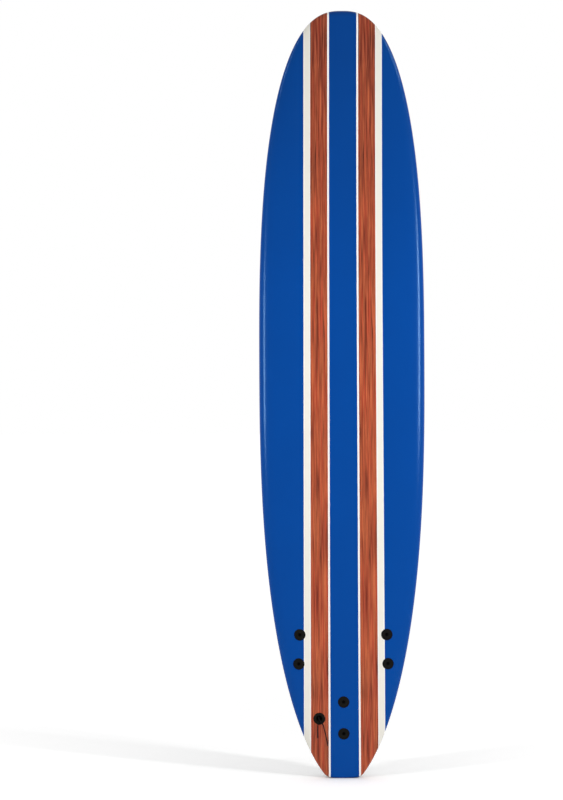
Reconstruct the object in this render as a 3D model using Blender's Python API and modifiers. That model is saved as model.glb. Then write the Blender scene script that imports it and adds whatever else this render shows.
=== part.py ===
# Soft-top surfboard: a foam board with two stringers, three bolt-on fins and a leash plug.
# It stands on its tail: +X runs across the board, the deck faces -Y and +Z runs from tail to nose.
# The origin is on the flat end of the tail. Every length is in metres.

import math

import bmesh
import bpy
from mathutils import Matrix, Vector

MM = 0.001
GAP = 0.3 * MM                      # between two pieces that touch

# Outline, seen from the deck
BOARD_LENGTH = 2438 * MM
BOARD_WIDTH = 533 * MM
WIDE_POINT = 1312 * MM              # height of the widest section
TAIL_END_WIDTH = 108 * MM           # the squared-off tail, before its corners are rounded
TAIL_CORNER = 12 * MM
NOSE_TAPER, NOSE_FULLNESS = 2.75, 2.5
TAIL_TAPER, TAIL_FULLNESS = 2.6, 1.7

# Side view
BOARD_THICKNESS = 80 * MM
THICK_POINT = 1250 * MM
TAIL_THICKNESS = 36 * MM
NOSE_THICKNESS = 36 * MM
THICKNESS_TAPER = 2.2
TAIL_EDGE = 6 * MM                  # rounding between the tail's end and the deck or the bottom
NOSE_ROUND = 26 * MM                # length over which the nose closes
ROCKER_POINT = 1200 * MM
TAIL_ROCKER, TAIL_ROCKER_CURVE = 60 * MM, 2.4
NOSE_ROCKER, NOSE_ROCKER_CURVE = 125 * MM, 2.6
SEAM_SETBACK = 8 * MM               # the seam's distance behind the origin, at the tail

# Cross-section: two superellipses that meet at the rail's seam
DECK_SHARE = 0.6
DECK_SQUARENESS = 2.8
BOTTOM_SQUARENESS = 4.5

# Layers, from the outside in
DECK_FOAM = 5 * MM
SLICK = 1.5 * MM
BOTTOM_FOAM = DECK_FOAM - SLICK - GAP
STRINGER_THICKNESS = 4 * MM
STRINGER_OFFSET = 48 * MM

# Fins. Their places are those of the plates' middles on the bottom.
SIDE_FIN_X = 143.3 * MM
SIDE_FIN_Z = 405 * MM
SIDE_FIN_TOE = math.radians(2.2)
SIDE_FIN_CANT = math.radians(4)
CENTER_FIN_Z = 186.4 * MM
PLATE_WIDTH = 29 * MM
PLATE_THICKNESS = 4 * MM
PLATE_EDGE = 1.5 * MM
SIDE_PLATE_LENGTH = 138 * MM
CENTER_PLATE_LENGTH = 148 * MM
SIDE_FIN_DEPTH = 115 * MM
CENTER_FIN_DEPTH = 128 * MM
SIDE_FIN_RAKE = 30 * MM             # how far the tip reaches behind the plate
CENTER_FIN_RAKE = 42 * MM
BLADE_MARGIN = 14 * MM              # bare plate before and behind the blade's foot
BLADE_FOOT = 7 * MM                 # blade thickness at the plate
BLADE_TIP = 3.5 * MM

# Fin fasteners
SIDE_BOLT_SPACING = 93 * MM
CENTER_BOLT_SPACING = 100.7 * MM
SCREW_RADIUS = 2.5 * MM
SCREW_HEAD_RADIUS = 4.6 * MM
SCREW_HEAD_HEIGHT = 2.2 * MM
CROSS_LENGTH = 5 * MM
CROSS_WIDTH = 1.1 * MM
CROSS_DEPTH = 1.4 * MM
INSERT_WALL = 1.4 * MM
INSERT_LENGTH = 10 * MM
POST_WALL = 1.7 * MM
POST_LENGTH = 16 * MM
SLEEVE_WALL = 1.2 * MM
WASHER_RADIUS = 18.3 * MM
WASHER_THICKNESS = 3 * MM
WASHER_PROUD = 0.4 * MM             # how far the disc stands out of the deck
WASHER_STEM = 8 * MM
DISH_RADIUS = 8 * MM
DISH_DEPTH = 1.6 * MM

# Leash plug
CUP_X = -78 * MM
CUP_Z = 188.8 * MM
CUP_FLANGE_RADIUS = 19 * MM
CUP_FLANGE_THICKNESS = 1.8 * MM
CUP_PROUD = 0.8 * MM
CUP_BORE_RADIUS = 9.5 * MM
CUP_WALL = 3 * MM
CUP_DEPTH = 17 * MM
CUP_FLOOR = 2 * MM
CUP_CHAMFER = 1.5 * MM
PIN_RADIUS = 1.5 * MM
PIN_DEPTH = 6 * MM
PIN_SEAT = 2 * MM                   # how far each end of the pin goes into the cup's wall

# Leash string. Its strands are in the plug's own frame: across, up the board and out of the deck, in mm.
STRING_RADIUS = 1.5 * MM
STRING_BEND = 6.2 * MM              # radius of the loop round the pin and of the bend over the rim
LOOP_OUT = -6.5 * MM                # height of the loop's middle
LOOP_TURN = math.radians(250)
LOOP_START, LOOP_END = -3.6 * MM, -1.7 * MM   # where it stands across the board
RIM_BEND_OUT = -2.6 * MM            # height of the middle of the bend over the rim
LEFT_STRAND = [(-4.8, -62, 1.4), (-5.3, -49, 1.6), (-5.5, -36, 1.7), (-5, -25, 2.2), (-4.1, -17, 3)]
RIGHT_STRAND = [(-0.2, -2.4, 0.8), (2.3, -6.4, 2.2), (5.1, -10.2, 3.2), (8.2, -13.8, 3.5), (10.9, -18, 3.1),
                (13.1, -22.8, 2.4), (14.9, -29, 2), (17.6, -40, 1.9), (21, -55, 1.9), (24.3, -71, 1.9),
                (27, -87, 2)]

RIM_POINTS = 3                      # route points on the bend over the rim
LOOP_POINTS = 8                     # route points on the loop
STRING_STEPS = 2                    # tube rings between two points of the route

# Mesh steps
NOSE_STEPS = 12
TAIL_STEPS = 9
CORNER_STEPS = 3
DECK_STEPS = 7
BOTTOM_STEPS = 5
TURN_STEPS = 16
SMALL_TURN_STEPS = 12
PLATE_END_STEPS = 7
BLADE_STEPS = 8
BLADE_POINTS = 12

# Fits that follow from the sizes above
BORE_RADIUS = SCREW_RADIUS + GAP
INSERT_RADIUS = BORE_RADIUS + INSERT_WALL
POST_BORE_RADIUS = INSERT_RADIUS + GAP
POST_RADIUS = POST_BORE_RADIUS + POST_WALL
SLEEVE_BORE_RADIUS = POST_RADIUS + GAP
SLEEVE_RADIUS = SLEEVE_BORE_RADIUS + SLEEVE_WALL
HOLE_RADIUS = SLEEVE_RADIUS + GAP
HEAD_SEAT_RADIUS = SCREW_HEAD_RADIUS + GAP
HEAD_SEAT_DEPTH = DISH_DEPTH + SCREW_HEAD_HEIGHT + 2 * GAP
CUP_RADIUS = CUP_BORE_RADIUS + CUP_WALL
STRINGER_HALF = STRINGER_THICKNESS / 2

BLUE = (0.002, 0.072, 0.319)
WOOD_PRINT = (0.36, 0.075, 0.035)
CREAM = (0.88, 0.85, 0.77)
WHITE = (0.93, 0.92, 0.9)
# Bands of the print beside the blue middle: where each starts, as a share of the board's half width
PRINT = [(0.161, WHITE), (0.191, WOOD_PRINT), (0.389, CREAM), (0.483, BLUE)]


def clear_scene():
    for item in list(bpy.data.objects):
        bpy.data.objects.remove(item, do_unlink=True)


def new_collection(name):
    collection = bpy.data.collections.new(name)
    bpy.context.scene.collection.children.link(collection)
    return collection


def add(name, data, collection, material=None, parent=None, at=(0, 0, 0), turn=(0, 0, 0)):
    item = bpy.data.objects.new(name, data)
    item.parent = parent
    item.location = at
    item.rotation_euler = turn
    if material:
        data.materials.append(material)
    collection.objects.link(item)
    return item


def hide_cutter(item):
    item.hide_render = True
    item.display_type = 'WIRE'
    return item


def boolean(item, other, operation):
    modifier = item.modifiers.new(f"{operation} {other.name}", 'BOOLEAN')
    modifier.object = other
    modifier.operation = operation
    modifier.solver = 'EXACT'


# Materials

def principled(name, color, roughness, metallic=0.0):
    material = bpy.data.materials.new(name)
    material.use_nodes = True
    shader = material.node_tree.nodes["Principled BSDF"]
    shader.inputs["Base Color"].default_value = (*color, 1)
    shader.inputs["Roughness"].default_value = roughness
    shader.inputs["Metallic"].default_value = metallic
    return material


def printed_foam():
    material = principled("deck_foam", BLUE, 0.45)
    nodes, links = material.node_tree.nodes, material.node_tree.links
    coordinates = nodes.new('ShaderNodeTexCoord')
    split = nodes.new('ShaderNodeSeparateXYZ')
    distance = nodes.new('ShaderNodeMath')
    distance.operation = 'ABSOLUTE'
    share = nodes.new('ShaderNodeMath')
    share.operation = 'DIVIDE'
    share.inputs[1].default_value = BOARD_WIDTH / 2
    band = nodes.new('ShaderNodeValToRGB')
    colors = band.color_ramp.elements
    band.color_ramp.interpolation = 'CONSTANT'
    colors.remove(colors[1])
    colors[0].color = (*BLUE, 1)
    for start, color in PRINT:
        colors.new(start).color = (*color, 1)
    links.new(coordinates.outputs["Object"], split.inputs[0])
    links.new(split.outputs["X"], distance.inputs[0])
    links.new(distance.outputs[0], share.inputs[0])
    links.new(share.outputs[0], band.inputs[0])
    links.new(band.outputs["Color"], nodes["Principled BSDF"].inputs["Base Color"])
    return material


def make_materials():
    return {
        "deck_foam": printed_foam(),
        "slick": principled("slick", (0.9, 0.9, 0.89), 0.2),
        "core_foam": principled("core_foam", (0.86, 0.86, 0.84), 0.9),
        "sheet_foam": principled("sheet_foam", (0.8, 0.82, 0.84), 0.8),
        "ply": principled("ply", (0.55, 0.36, 0.18), 0.6),
        "black_plastic": principled("black_plastic", (0.006, 0.006, 0.005), 0.35),
        "sleeve_plastic": principled("sleeve_plastic", (0.6, 0.6, 0.58), 0.4),
        "brass": principled("brass", (0.6, 0.4, 0.14), 0.3, 1.0),
        "steel": principled("steel", (0.5, 0.5, 0.5), 0.3, 1.0),
        "cord": principled("cord", (0.012, 0.01, 0.012), 0.8),
    }


# The board's surface

def slope(curve, z):
    step = 1e-5
    low, high = max(z - step, 0), min(z + step, BOARD_LENGTH)
    return (curve(high) - curve(low)) / (high - low)


def end_inset(z, radius):
    near = max(radius - z, 0)
    return radius - math.sqrt(radius ** 2 - near ** 2)


def half_width(z):
    if z >= WIDE_POINT:
        t = min((z - WIDE_POINT) / (BOARD_LENGTH - WIDE_POINT), 1)
        return BOARD_WIDTH / 2 * (1 - t ** NOSE_TAPER) ** (1 / NOSE_FULLNESS)
    cut = (1 - (TAIL_END_WIDTH / BOARD_WIDTH) ** TAIL_FULLNESS) ** (1 / TAIL_TAPER)
    t = (WIDE_POINT - z) / WIDE_POINT * cut
    return BOARD_WIDTH / 2 * (1 - t ** TAIL_TAPER) ** (1 / TAIL_FULLNESS) - end_inset(z, TAIL_CORNER)


def full_thickness(z):
    if z < THICK_POINT:
        t, end = 1 - z / THICK_POINT, TAIL_THICKNESS
    else:
        t, end = (z - THICK_POINT) / (BOARD_LENGTH - THICK_POINT), NOSE_THICKNESS
    return BOARD_THICKNESS - (BOARD_THICKNESS - end) * t ** THICKNESS_TAPER


def nose_closing(z):
    t = max(z - BOARD_LENGTH + NOSE_ROUND, 0) / NOSE_ROUND
    return math.sqrt(max(1 - t ** 2, 0))


def deck_height(z):
    return DECK_SHARE * full_thickness(z) * nose_closing(z) - end_inset(z, TAIL_EDGE)


def bottom_height(z):
    return (1 - DECK_SHARE) * full_thickness(z) * nose_closing(z) - end_inset(z, TAIL_EDGE)


def rocker(z):
    if z < ROCKER_POINT:
        return TAIL_ROCKER * (1 - z / ROCKER_POINT) ** TAIL_ROCKER_CURVE
    return NOSE_ROCKER * ((z - ROCKER_POINT) / (BOARD_LENGTH - ROCKER_POINT)) ** NOSE_ROCKER_CURVE


def bottom_line(z):
    tail = SEAM_SETBACK + (1 - DECK_SHARE) * TAIL_THICKNESS
    return tail + TAIL_ROCKER - rocker(z)


def seam(z):
    return bottom_line(z) - (1 - DECK_SHARE) * full_thickness(z)


def deck_surface(x, z):
    share = min(abs(x) / half_width(z), 1)
    return seam(z) - deck_height(z) * (1 - share ** DECK_SQUARENESS) ** (1 / DECK_SQUARENESS)


def bottom_surface(x, z):
    share = min(abs(x) / half_width(z), 1)
    return seam(z) + bottom_height(z) * (1 - share ** BOTTOM_SQUARENESS) ** (1 / BOTTOM_SQUARENESS)


def stations():
    corner = [TAIL_CORNER * (1 - math.cos(math.pi / 2 * k / CORNER_STEPS)) for k in range(CORNER_STEPS)]
    tail = [TAIL_CORNER + (WIDE_POINT - TAIL_CORNER) * (k / TAIL_STEPS) ** 1.5 for k in range(TAIL_STEPS)]
    nose = [BOARD_LENGTH - (BOARD_LENGTH - WIDE_POINT) * (1 - k / NOSE_STEPS) ** 3
            for k in range(NOSE_STEPS + 1)]
    return corner + tail + nose


def rail_angles(steps, crowding):
    quarter = [math.pi / 2 * (k / steps) ** crowding for k in range(steps + 1)]
    return quarter + [math.pi - angle for angle in reversed(quarter[:-1])]


def half_ring(z, inset, deck_side, lift=0.0):
    # One side of a section, from the right seam to the left one, drawn in by the inset
    side_slope = slope(half_width, z)
    half = half_width(z) - inset / math.hypot(1, side_slope)
    z_in = z + inset * side_slope / math.hypot(1, side_slope)
    height_of = deck_height if deck_side else bottom_height
    height = height_of(z) - inset / math.hypot(1, slope(height_of, z))
    squareness = DECK_SQUARENESS if deck_side else BOTTOM_SQUARENESS
    away = -1 if deck_side else 1
    angles = rail_angles(DECK_STEPS, 1.3) if deck_side else rail_angles(BOTTOM_STEPS, 1.5)
    ring = []
    for angle in angles:
        across = math.copysign(abs(math.cos(angle)) ** (2 / squareness), math.cos(angle))
        out = abs(math.sin(angle)) ** (2 / squareness)
        ring.append(Vector((half * across, seam(z_in) + away * (lift + height * out), z_in)))
    tip = Vector((0, ring[0].y, z_in))
    return [tip.copy() for _ in ring] if z >= BOARD_LENGTH else ring


def mesh_from(name, build_faces):
    shape = bmesh.new()
    build_faces(shape)
    bmesh.ops.remove_doubles(shape, verts=shape.verts, dist=1e-7)
    bmesh.ops.recalc_face_normals(shape, faces=shape.faces)
    mesh = bpy.data.meshes.new(name)
    shape.to_mesh(mesh)
    shape.free()
    mesh.shade_smooth()
    mesh.set_sharp_from_angle(angle=math.radians(35))
    return mesh


def bridge(shape, first, second, closed):
    count = len(first)
    for k in range(count if closed else count - 1):
        corners = [first[k], first[(k + 1) % count], second[(k + 1) % count], second[k]]
        places = {tuple(round(c, 8) for c in v.co) for v in corners}
        if len(places) == 4:
            shape.faces.new(corners)
        elif len(places) == 3:
            apart = [v for n, v in enumerate(corners)
                     if (v.co - corners[n - 1].co).length > 1e-7]
            shape.faces.new(apart)


def loft(name, rings):
    # A closed solid through closed rings. A ring whose points all meet is a tip, and the others are capped.
    def build(shape):
        rows = [[shape.verts.new(point) for point in ring] for ring in rings]
        for first, second in zip(rows, rows[1:]):
            bridge(shape, first, second, True)
        for row in (rows[0], rows[-1]):
            if (row[0].co - row[len(row) // 2].co).length > 1e-7:
                shape.faces.new(row)
    return mesh_from(name, build)


def tray(name, outer, inner):
    # A shell between two surfaces, open along the seam and closed at the tail
    def build(shape):
        skins = [[[shape.verts.new(point) for point in row] for row in rows] for rows in (outer, inner)]
        for rows in skins:
            for first, second in zip(rows, rows[1:]):
                bridge(shape, first, second, False)
            shape.faces.new(rows[0])
        for end in (0, -1):
            rims = [[row[end] for row in rows] for rows in skins]
            bridge(shape, rims[0], rims[1], False)
        outside, inside = skins[0][0], skins[1][0]
        shape.faces.new([outside[0], outside[-1], inside[-1], inside[0]])
    return mesh_from(name, build)


def skin(name, deck_side, start, thickness, material, collection):
    outer = [half_ring(z, start, deck_side, GAP / 2) for z in stations()]
    inner = [half_ring(z, start + thickness, deck_side, GAP / 2) for z in stations()]
    return add(name, tray(name, outer, inner), collection, material)


def core_blank(name):
    inset = DECK_FOAM + GAP
    rings = []
    for z in stations():
        deck = half_ring(z, inset, True)
        bottom = half_ring(z, inset, False)
        rings.append(deck + bottom[-2:0:-1])
    return loft(name, rings)


def block(name, low_x, high_x, collection):
    mesh = bpy.data.meshes.new(name)
    shape = bmesh.new()
    bmesh.ops.create_cube(shape, size=1)
    span = Vector((high_x - low_x, 1, BOARD_LENGTH * 1.2))
    middle = Vector(((low_x + high_x) / 2, 0, BOARD_LENGTH / 2))
    bmesh.ops.scale(shape, vec=span, verts=shape.verts)
    bmesh.ops.translate(shape, vec=middle, verts=shape.verts)
    shape.to_mesh(mesh)
    shape.free()
    return hide_cutter(add(name, mesh, collection))


# Turned pieces

def turned(name, profile, collection, material=None, parent=None, at=(0, 0, 0), turn=(0, 0, 0),
           steps=TURN_STEPS, closed=False):
    # The profile is radius and height, and runs down the piece's outer side
    mesh = bpy.data.meshes.new(name)
    count = len(profile)
    edges = [(k, k + 1) for k in range(count - 1)] + ([(count - 1, 0)] if closed else [])
    mesh.from_pydata([(radius, 0, height) for radius, height in profile], edges, [])
    item = add(name, mesh, collection, material, parent, at, turn)
    screw = item.modifiers.new("Turn", 'SCREW')
    screw.steps = steps
    screw.render_steps = steps
    screw.use_merge_vertices = True
    screw.merge_threshold = 1e-5
    return item


# Fins

def fin_seat(name, x, z, toe, collection):
    # An empty on the bottom: its Z points out of the board and its Y forward along the fin
    step = 1e-4
    lean_x = (bottom_surface(x + step, z) - bottom_surface(x - step, z)) / (2 * step)
    lean_z = (bottom_surface(x, z + step) - bottom_surface(x, z - step)) / (2 * step)
    out = Vector((-lean_x, 1, -lean_z)).normalized()
    towards_nose = Vector((math.sin(toe), 0, math.cos(toe)))
    forward = (towards_nose - out * towards_nose.dot(out)).normalized()
    across = forward.cross(out)
    frame = Matrix((across, forward, out)).transposed().to_4x4()
    frame.translation = (x, bottom_surface(x, z), z)
    seat = bpy.data.objects.new(name, None)
    seat.empty_display_size = 0.03
    seat.matrix_world = frame
    collection.objects.link(seat)
    return seat, frame


def depth_to_deck(frame, along):
    # Distance from the bottom to the deck along the seat's axis, halved in until it is exact
    near, far = 0.0, 2 * BOARD_THICKNESS
    for _ in range(40):
        depth = (near + far) / 2
        point = frame @ Vector((0, along, -depth))
        if point.y > deck_surface(point.x, point.z):
            near = depth
        else:
            far = depth
    return near


def stadium(width, length, inset, height):
    radius = width / 2 - inset
    reach = (length - width) / 2
    ring = []
    for side in (1, -1):
        for k in range(PLATE_END_STEPS + 1):
            angle = math.pi * k / PLATE_END_STEPS
            ring.append(Vector((side * radius * math.cos(angle),
                                side * (reach + radius * math.sin(angle)), height)))
    return ring


def plate_mesh(name, length):
    top = GAP + PLATE_THICKNESS
    steps = [(0, GAP), (0, top - PLATE_EDGE), (PLATE_EDGE * 0.3, top - PLATE_EDGE * 0.3), (PLATE_EDGE, top)]
    return loft(name, [stadium(PLATE_WIDTH, length, inset, height) for inset, height in steps])


def blade_mesh(name, length, depth, rake, cant):
    front = length / 2 - BLADE_MARGIN
    back = -front
    tip = -length / 2 - rake
    foot = GAP + PLATE_THICKNESS / 2
    rings = []
    for k in range(BLADE_STEPS + 1):
        t = 1 - (1 - k / BLADE_STEPS) ** 1.6
        leading = front - (front - tip) * (1 - (1 - t ** 1.5) ** 0.6)
        trailing = back - (back - tip) * t ** 2.4
        thickness = BLADE_FOOT + (BLADE_TIP - BLADE_FOOT) * t
        height = foot + (GAP + depth - foot) * t
        ring = []
        for n in range(BLADE_POINTS):
            angle = 2 * math.pi * n / BLADE_POINTS
            share = (1 + math.cos(angle)) / 2
            side = thickness / 2 * math.copysign(abs(math.sin(angle)) ** 1.2, math.sin(angle))
            lean = (height - foot) * math.tan(cant)
            ring.append(Vector((side + lean, trailing + (leading - trailing) * share, height)))
        rings.append(ring)
    rings[-1] = [sum(rings[-1], Vector()) / BLADE_POINTS] * BLADE_POINTS
    return loft(name, rings)


def post_profile():
    foot = GAP + PLATE_THICKNESS / 2
    bore_end = -POST_LENGTH + INSERT_LENGTH + 2 * GAP
    return [(0, foot), (POST_RADIUS, foot), (POST_RADIUS, -POST_LENGTH), (POST_BORE_RADIUS, -POST_LENGTH),
            (POST_BORE_RADIUS, bore_end), (0, bore_end)]


def disc_profile():
    edge = WASHER_THICKNESS / 4
    return [(0, 0), (WASHER_RADIUS - edge, 0), (WASHER_RADIUS, -edge), (WASHER_RADIUS, -WASHER_THICKNESS),
            (0, -WASHER_THICKNESS)]


def dish_profile():
    # The dish's slope goes on as far above the disc as it goes below
    return [(0, DISH_DEPTH), (2 * DISH_RADIUS - HEAD_SEAT_RADIUS, DISH_DEPTH), (HEAD_SEAT_RADIUS, -DISH_DEPTH),
            (0, -DISH_DEPTH)]


def recess_profile():
    side = WASHER_RADIUS + GAP
    under = -WASHER_THICKNESS - GAP
    return [(0, WASHER_RADIUS), (side, WASHER_RADIUS), (side, under), (0, under)]


def stem_profile():
    # It leans in the disc, so it starts high enough to join it all round, and the dish is cut out of both
    inside = -DISH_DEPTH / 2
    end = -WASHER_THICKNESS - WASHER_STEM
    return [(0, inside), (POST_RADIUS, inside), (POST_RADIUS, end), (0, end)]


def bore_profile():
    end = -WASHER_THICKNESS - WASHER_STEM - GAP
    return [(0, WASHER_THICKNESS), (HEAD_SEAT_RADIUS, WASHER_THICKNESS), (HEAD_SEAT_RADIUS, -HEAD_SEAT_DEPTH),
            (BORE_RADIUS, -HEAD_SEAT_DEPTH), (BORE_RADIUS, end), (0, end)]


def screw_profile(length):
    edge = SCREW_HEAD_HEIGHT / 4
    end = -SCREW_HEAD_HEIGHT - length
    return [(0, 0), (SCREW_HEAD_RADIUS - edge, 0), (SCREW_HEAD_RADIUS, -edge),
            (SCREW_HEAD_RADIUS, -SCREW_HEAD_HEIGHT), (SCREW_RADIUS, -SCREW_HEAD_HEIGHT),
            (SCREW_RADIUS, end + edge), (SCREW_RADIUS - edge, end), (0, end)]


def tube_profile(outer, inner, top, bottom):
    return [(outer, top), (outer, bottom), (inner, bottom), (inner, top)]


def hole_profile(length):
    # For the sleeve, from above the deck to below the bottom
    return [(0, WASHER_RADIUS), (HOLE_RADIUS, WASHER_RADIUS), (HOLE_RADIUS, -length), (0, -length)]


def cross_mesh(name):
    long, short = CROSS_LENGTH / 2, CROSS_WIDTH / 2
    quarter = [(long, -short), (long, short), (short, short)]
    outline = []
    for turn in range(4):
        across, along = math.cos(math.pi / 2 * turn), math.sin(math.pi / 2 * turn)
        for x, y in quarter:
            outline.append((x * across - y * along, x * along + y * across))
    ends = (-CROSS_DEPTH, CROSS_DEPTH)
    return loft(name, [[Vector((x, y, height)) for x, y in outline] for height in ends])


def fit_fin(side, x, z, toe, cant, length, spacing, depth, rake, materials, parts, cutters):
    # The fin with everything that bolts it to the board. Returns the cutters of its screw holes and of the
    # recesses for its washers.
    seat, frame = fin_seat(f"fin_{side}_seat", x, z, toe, parts)
    plastic = materials["black_plastic"]
    fin = add(f"fin_{side}", plate_mesh(f"fin_{side}", length), parts, plastic, seat)
    blade = add(f"fin_{side}_blade", blade_mesh(f"fin_{side}_blade", length, depth, rake, cant), cutters,
                plastic, seat)
    boolean(fin, hide_cutter(blade), 'UNION')
    holes, recesses = [], []
    for end, along in (("front", spacing / 2), ("rear", -spacing / 2)):
        tag = f"{side}_{end}"
        post = turned(f"fin_post_{tag}", post_profile(), cutters, plastic, seat, (0, along, 0),
                      steps=SMALL_TURN_STEPS)
        boolean(fin, hide_cutter(post), 'UNION')
        top = depth_to_deck(frame, along) + WASHER_PROUD
        bolt = {"parent": seat, "at": (0, along, -top), "turn": (math.pi, 0, 0)}
        place = frame @ Vector((0, along, -top))
        disc_seat, disc_frame = deck_seat(f"fin_washer_{tag}_seat", place.x, place.z, parts)
        disc = {"parent": disc_seat, "at": (0, 0, WASHER_PROUD)}
        lean = frame.col[2].xyz.angle(-disc_frame.col[2].xyz)

        washer = turned(f"fin_washer_{tag}", disc_profile(), parts, plastic, **disc)
        stem = turned(f"fin_stem_{tag}", stem_profile(), cutters, plastic, steps=SMALL_TURN_STEPS, **bolt)
        dish = turned(f"fin_dish_{tag}", dish_profile(), cutters, plastic, **disc)
        bore = turned(f"fin_bore_{tag}", bore_profile(), cutters, plastic, steps=SMALL_TURN_STEPS, **bolt)
        boolean(washer, hide_cutter(stem), 'UNION')
        boolean(washer, hide_cutter(dish), 'DIFFERENCE')
        boolean(washer, hide_cutter(bore), 'DIFFERENCE')

        turned(f"fin_insert_{tag}", tube_profile(INSERT_RADIUS, BORE_RADIUS, INSERT_LENGTH, 0), parts,
               materials["brass"], seat, (0, along, -POST_LENGTH), steps=SMALL_TURN_STEPS, closed=True)
        sleeve_end = WASHER_THICKNESS + GAP + SLEEVE_RADIUS * math.tan(lean) - top
        turned(f"fin_sleeve_{tag}", tube_profile(SLEEVE_RADIUS, SLEEVE_BORE_RADIUS, 0, sleeve_end), parts,
               materials["sleeve_plastic"], seat, (0, along, 0), steps=SMALL_TURN_STEPS, closed=True)

        head_top = HEAD_SEAT_DEPTH - GAP - SCREW_HEAD_HEIGHT
        shank = top - head_top - SCREW_HEAD_HEIGHT - POST_LENGTH + INSERT_LENGTH
        head = {"parent": seat, "at": (0, along, head_top - top), "turn": (math.pi, 0, 0)}
        screw = turned(f"fin_screw_{tag}", screw_profile(shank), parts, materials["steel"],
                       steps=SMALL_TURN_STEPS, **head)
        cross = add(f"fin_cross_{tag}", cross_mesh(f"fin_cross_{tag}"), cutters, **head)
        boolean(screw, hide_cutter(cross), 'DIFFERENCE')

        hole = turned(f"fin_hole_{tag}", hole_profile(top + PLATE_THICKNESS), cutters,
                      steps=SMALL_TURN_STEPS, **bolt)
        recess = turned(f"fin_recess_{tag}", recess_profile(), cutters, **disc)
        holes.append(hide_cutter(hole))
        recesses.append(hide_cutter(recess))
    return holes, recesses


# Leash plug

def deck_seat(name, x, z, collection):
    # An empty on the deck: its Z points out of the deck, its X across the board and its Y up the board
    step = 1e-4
    lean_x = (deck_surface(x + step, z) - deck_surface(x - step, z)) / (2 * step)
    lean_z = (deck_surface(x, z + step) - deck_surface(x, z - step)) / (2 * step)
    out = Vector((lean_x, -1, lean_z)).normalized()
    up = (Vector((0, 0, 1)) - out * out.z).normalized()
    frame = Matrix((up.cross(out), up, out)).transposed().to_4x4()
    frame.translation = (x, deck_surface(x, z), z)
    seat = bpy.data.objects.new(name, None)
    seat.empty_display_size = 0.03
    seat.matrix_world = frame
    collection.objects.link(seat)
    return seat, frame


def cup_profile():
    face = CUP_PROUD
    under = CUP_PROUD - CUP_FLANGE_THICKNESS
    edge = CUP_FLANGE_THICKNESS / 3
    return [(0, -CUP_DEPTH), (CUP_BORE_RADIUS, -CUP_DEPTH), (CUP_BORE_RADIUS, face - CUP_CHAMFER),
            (CUP_BORE_RADIUS + CUP_CHAMFER, face), (CUP_FLANGE_RADIUS - edge, face),
            (CUP_FLANGE_RADIUS, face - edge), (CUP_FLANGE_RADIUS, under), (CUP_RADIUS, under),
            (CUP_RADIUS, -CUP_DEPTH - CUP_FLOOR), (0, -CUP_DEPTH - CUP_FLOOR)]


def pocket_profile():
    side = CUP_FLANGE_RADIUS + GAP
    under = CUP_PROUD - CUP_FLANGE_THICKNESS - GAP
    end = -CUP_DEPTH - CUP_FLOOR - GAP
    return [(0, CUP_FLANGE_RADIUS), (side, CUP_FLANGE_RADIUS), (side, under),
            (CUP_RADIUS + GAP, under), (CUP_RADIUS + GAP, end), (0, end)]


def rod_profile(radius, half_length):
    return [(0, half_length), (radius, half_length), (radius, -half_length), (0, -half_length)]


def smooth_route(points, steps):
    # Catmull-Rom curve through the points
    padded = [2 * points[0] - points[1], *points, 2 * points[-1] - points[-2]]
    route = []
    for a, b, c, d in zip(padded, padded[1:], padded[2:], padded[3:]):
        for k in range(steps):
            t = k / steps
            route.append(0.5 * (2 * b + (c - a) * t + (2 * a - 5 * b + 4 * c - d) * t ** 2
                                + (3 * b - a - 3 * c + d) * t ** 3))
    return route + [points[-1]]


def string_route():
    # From the left end up over the cup's rim, round the pin, and out over the rim again to the right end
    route = [Vector(point) * MM for point in LEFT_STRAND]
    for k in range(RIM_POINTS + 1):
        angle = math.pi / 2 * (1 - k / RIM_POINTS)
        route.append(Vector((LOOP_START, STRING_BEND * (math.cos(angle) - 2),
                             RIM_BEND_OUT + STRING_BEND * math.sin(angle))))
    for k in range(LOOP_POINTS + 1):
        share = k / LOOP_POINTS
        angle = math.pi + LOOP_TURN * share
        route.append(Vector((LOOP_START + (LOOP_END - LOOP_START) * share, STRING_BEND * math.cos(angle),
                             LOOP_OUT + STRING_BEND * math.sin(angle))))
    return route + [Vector(point) * MM for point in RIGHT_STRAND]


def string_curve(name):
    curve = bpy.data.curves.new(name, 'CURVE')
    curve.dimensions = '3D'
    curve.bevel_depth = STRING_RADIUS
    curve.bevel_resolution = 2
    curve.use_fill_caps = True
    route = smooth_route(string_route(), STRING_STEPS)
    spline = curve.splines.new('POLY')
    spline.points.add(len(route) - 1)
    for point, place in zip(spline.points, route):
        point.co = (*place, 1)
    return curve


def fit_leash_plug(materials, parts, cutters):
    # The cup, its pin and the string. Returns the cutter of the cup's pocket in the board.
    seat, _ = deck_seat("leash_seat", CUP_X, CUP_Z, parts)
    along_x = (0, math.pi / 2, 0)
    pin_at = (0, 0, -PIN_DEPTH)
    pin_reach = CUP_BORE_RADIUS + PIN_SEAT
    cup = turned("leash_cup", cup_profile(), parts, materials["black_plastic"], seat)
    pin_hole = turned("leash_pin_hole", rod_profile(PIN_RADIUS + GAP, pin_reach + GAP), cutters, None, seat,
                      pin_at, along_x, steps=SMALL_TURN_STEPS)
    boolean(cup, hide_cutter(pin_hole), 'DIFFERENCE')
    turned("leash_pin", rod_profile(PIN_RADIUS, pin_reach), parts, materials["steel"], seat, pin_at, along_x,
           steps=SMALL_TURN_STEPS)
    add("leash_string", string_curve("leash_string"), parts, materials["cord"], seat)
    return hide_cutter(turned("leash_pocket", pocket_profile(), cutters, None, seat))


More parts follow.
